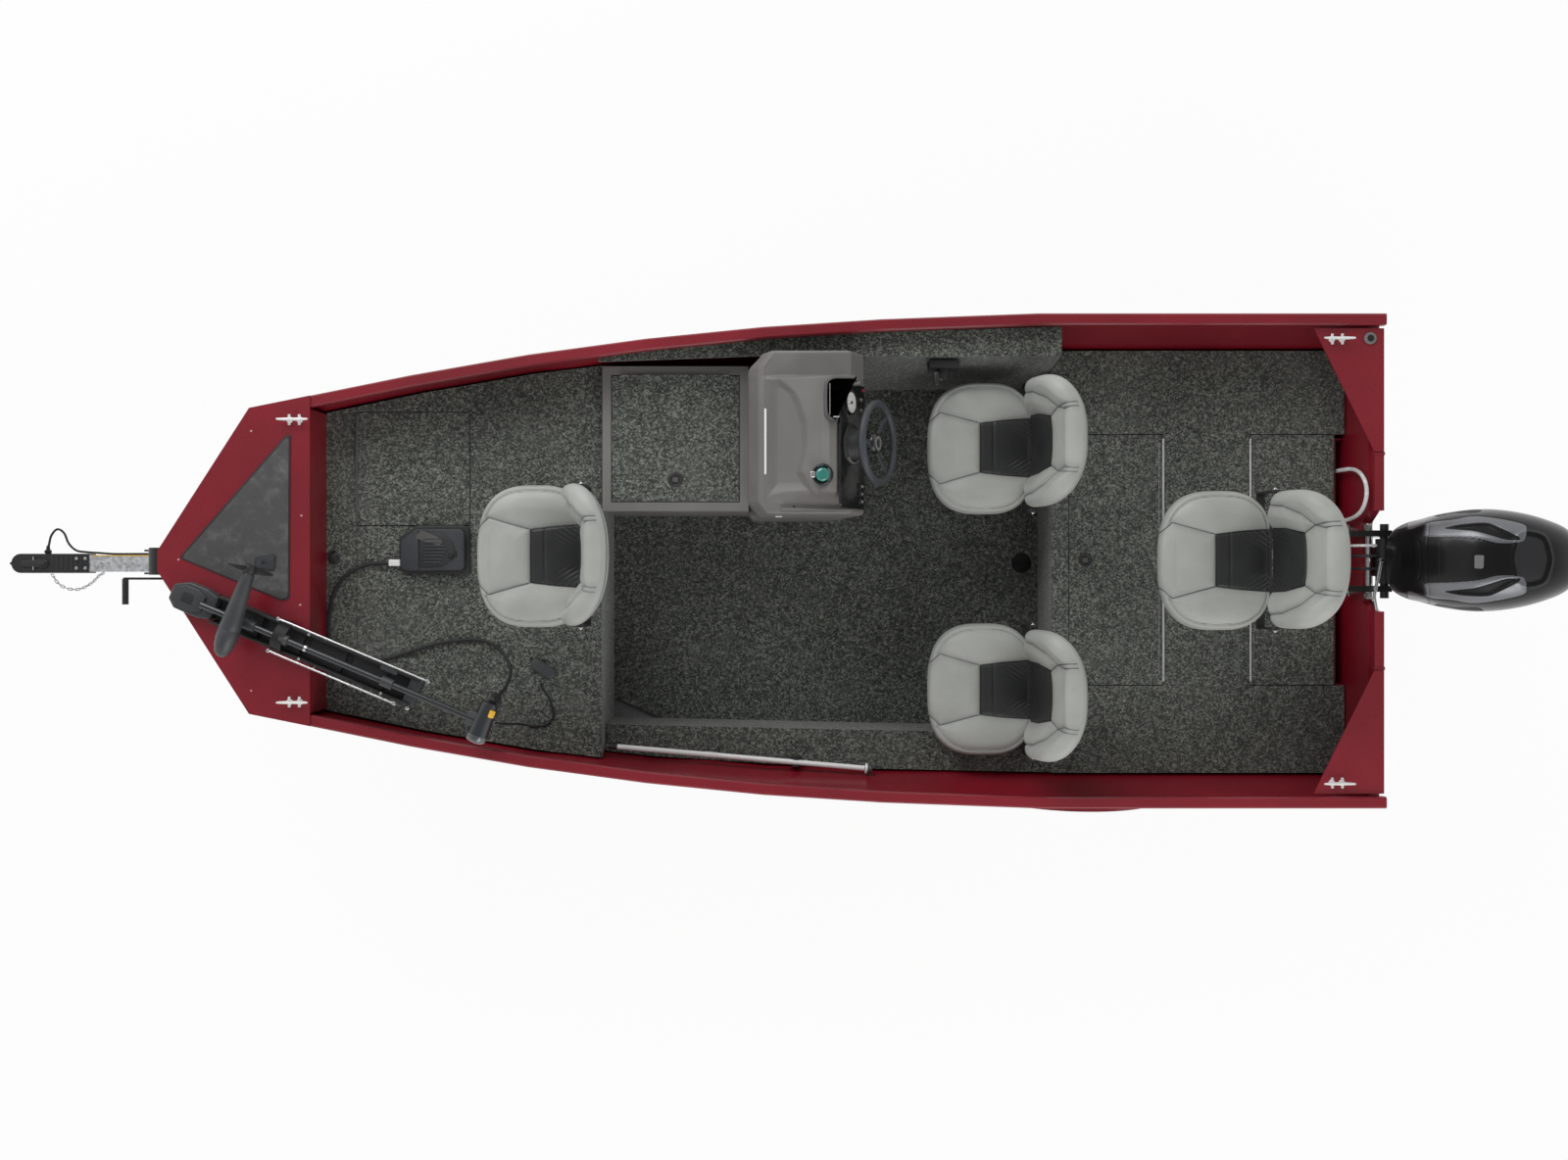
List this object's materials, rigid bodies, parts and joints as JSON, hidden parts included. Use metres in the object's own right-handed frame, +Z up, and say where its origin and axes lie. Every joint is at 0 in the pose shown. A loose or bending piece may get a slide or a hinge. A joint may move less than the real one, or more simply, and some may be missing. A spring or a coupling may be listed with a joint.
{
  "type": "fishing boat on its trailer",
  "caption": "Open aluminium fishing boat with casting decks, console, swivel seats, outboard and stowed bow motor, parked on its road trailer.",
  "frame": {"origin": "on the ground under the middle of the overall box", "axes": "+X towards the stern, +Y to starboard, +Z up"},
  "size_m": [6.54, 2.2, 1.9222],
  "materials": {
    "red_paint": "gloss metallic red",
    "hull_grey": "satin grey",
    "carpet": "short looped pile",
    "grey_moulding": "satin moulded plastic",
    "tread_pad": "fine textured rubber",
    "black_plastic": "satin black",
    "seat_vinyl": "grained vinyl",
    "seat_frame": "black powder coat",
    "cowl_black": "high gloss",
    "motor_black": "gloss black",
    "white_plastic": "gloss white",
    "bright_metal": "polished",
    "galvanised": "galvanised",
    "black_steel": "black paint",
    "tyre_rubber": "road tyre",
    "red_lens": "lens",
    "bow_motor_grey": "satin",
    "cord_black": "cable jacket"
  },
  "bodies": {
    "boat_and_trailer": {"hull_bottom": "hull_grey", "hull_sides": "red_paint", "transom": "red_paint", "gunwales": "red_paint", "bow_cap": "red_paint", "bow_pad": "tread_pad", "stern_corners": "red_paint", "splash_well": "red_paint", "bow_deck": "carpet", "stern_deck": "carpet", "cockpit_floor": "carpet", "side_liners": "carpet", "locker": "grey_moulding", "console": "grey_moulding", "dash": "black_plastic", "throttle_box": "black_plastic", "cleats": "bright_metal", "seat_posts": "seat_frame", "light_pole": "white_plastic", "motor_clamp": "motor_black", "bow_motor_mount": "black_plastic", "bow_motor": "bow_motor_grey", "foot_pedal": "black_plastic", "trailer_frame": "galvanised", "coupler": "black_steel", "bunks": "carpet", "axle": "black_steel", "fenders": "red_paint", "tail_lights": "red_lens", "winch": "black_steel", "jack_tube": "galvanised", "pedal_cable": "cord_black", "pull_rope": "cord_black", "trailer_lead": "cord_black", "safety_chain": "galvanised"},
    "bow_hatch": {"bow_lid": "carpet"},
    "locker_hatch": {"locker_lid": "carpet"},
    "stern_hatch_fore": {"stern_lid_fore": "carpet"},
    "stern_hatch_aft": {"stern_lid_aft": "carpet"},
    "helm_wheel": {"steering_wheel": "black_plastic"},
    "tilt_bracket": {"motor_swivel": "motor_black"},
    "outboard": {"motor_cowl": "cowl_black", "motor_leg": "motor_black"},
    "main_propeller": {"propeller": "motor_black"},
    "small_propeller": {"bow_propeller": "black_plastic"},
    "jack_foot": {"jack_leg": "galvanised"},
    "starboard_wheel": {"wheel_starboard": "tyre_rubber"},
    "port_wheel": {"wheel_port": "tyre_rubber"},
    "seat_bow": {"seat_frame_bow": "seat_frame", "seat_cushion_bow": "seat_vinyl"},
    "back_bow": {"seat_back_bow": "seat_vinyl"},
    "seat_driver": {"seat_frame_driver": "seat_frame", "seat_cushion_driver": "seat_vinyl"},
    "back_driver": {"seat_back_driver": "seat_vinyl"},
    "seat_port": {"seat_frame_port": "seat_frame", "seat_cushion_port": "seat_vinyl"},
    "back_port": {"seat_back_port": "seat_vinyl"},
    "seat_stern": {"seat_frame_stern": "seat_frame", "seat_cushion_stern": "seat_vinyl"},
    "back_stern": {"seat_back_stern": "seat_vinyl"}
  },
  "joints": [
    {"name": "seat_bow_swivel", "type": "hinge", "parent": "boat_and_trailer", "child": "seat_bow", "pos_m": [-0.618, 0.015, 1.4], "axis": [0, 0, 1], "continuous": true},
    {"name": "seat_bow_fold", "type": "hinge", "parent": "seat_bow", "child": "back_bow", "pos_m": [-0.49, 0.015, 1.558], "axis": [0, -1, 0], "range_deg": [0, 95]},
    {"name": "seat_driver_swivel", "type": "hinge", "parent": "boat_and_trailer", "child": "seat_driver", "pos_m": [1.154, 0.468, 0.99], "axis": [0, 0, 1], "continuous": true},
    {"name": "seat_driver_fold", "type": "hinge", "parent": "seat_driver", "child": "back_driver", "pos_m": [1.282, 0.468, 1.148], "axis": [0, -1, 0], "range_deg": [0, 95]},
    {"name": "seat_port_swivel", "type": "hinge", "parent": "boat_and_trailer", "child": "seat_port", "pos_m": [1.154, -0.528, 0.99], "axis": [0, 0, 1], "continuous": true},
    {"name": "seat_port_fold", "type": "hinge", "parent": "seat_port", "child": "back_port", "pos_m": [1.282, -0.528, 1.148], "axis": [0, -1, 0], "range_deg": [0, 95]},
    {"name": "seat_stern_swivel", "type": "hinge", "parent": "boat_and_trailer", "child": "seat_stern", "pos_m": [2.024, 0, 1.3], "axis": [0, 0, 1], "continuous": true},
    {"name": "seat_stern_fold", "type": "hinge", "parent": "seat_stern", "child": "back_stern", "pos_m": [2.152, 0, 1.458], "axis": [0, -1, 0], "range_deg": [0, 95]},
    {"name": "starboard_wheel_spin", "type": "hinge", "parent": "boat_and_trailer", "child": "starboard_wheel", "pos_m": [1.632, 0.988, 0.305], "axis": [0, 1, 0], "continuous": true},
    {"name": "port_wheel_spin", "type": "hinge", "parent": "boat_and_trailer", "child": "port_wheel", "pos_m": [1.632, -0.988, 0.305], "axis": [0, 1, 0], "continuous": true},
    {"name": "outboard_tilt", "type": "hinge", "parent": "boat_and_trailer", "child": "tilt_bracket", "pos_m": [2.7, 0, 1.17], "axis": [0, -1, 0], "range_deg": [0, 60]},
    {"name": "outboard_steer", "type": "hinge", "parent": "tilt_bracket", "child": "outboard", "pos_m": [2.8, 0, 1], "axis": [0, 0, 1], "range_deg": [-30, 30]},
    {"name": "propeller_spin", "type": "hinge", "parent": "outboard", "child": "main_propeller", "pos_m": [3, 0, 0.44], "axis": [1, 0, 0], "continuous": true},
    {"name": "helm_turn", "type": "hinge", "parent": "boat_and_trailer", "child": "helm_wheel", "pos_m": [0.635, 0.45, 1.44], "axis": [0.891, 0, 0.454], "range_deg": [-540, 540]},
    {"name": "bow_propeller_spin", "type": "hinge", "parent": "boat_and_trailer", "child": "small_propeller", "pos_m": [-1.79529, -0.03307, 1.4023], "axis": [-0.3216, -0.9469, 0], "continuous": true},
    {"name": "bow_hatch_hinge", "type": "hinge", "parent": "boat_and_trailer", "child": "bow_hatch", "pos_m": [-1.486, 0.383, 1.0755], "axis": [0, -1, 0], "range_deg": [0, 85]},
    {"name": "locker_hatch_hinge", "type": "hinge", "parent": "boat_and_trailer", "child": "locker_hatch", "pos_m": [-0.172, 0.76, 1.1175], "axis": [-1, 0, 0], "range_deg": [0, 85]},
    {"name": "stern_hatch_fore_hinge", "type": "hinge", "parent": "boat_and_trailer", "child": "stern_hatch_fore", "pos_m": [1.861, 0.008, 0.9755], "axis": [0, 1, 0], "range_deg": [0, 60]},
    {"name": "stern_hatch_aft_hinge", "type": "hinge", "parent": "boat_and_trailer", "child": "stern_hatch_aft", "pos_m": [2.226, 0.008, 0.9755], "axis": [0, -1, 0], "range_deg": [0, 60]},
    {"name": "jack_slide", "type": "slide", "parent": "boat_and_trailer", "child": "jack_foot", "axis": [0, 0, 1], "range_m": [0, 0.145]}
  ],
  "couplings": [
    {"joint": "helm_turn", "follows": "outboard_steer", "ratio": -18}
  ]
}
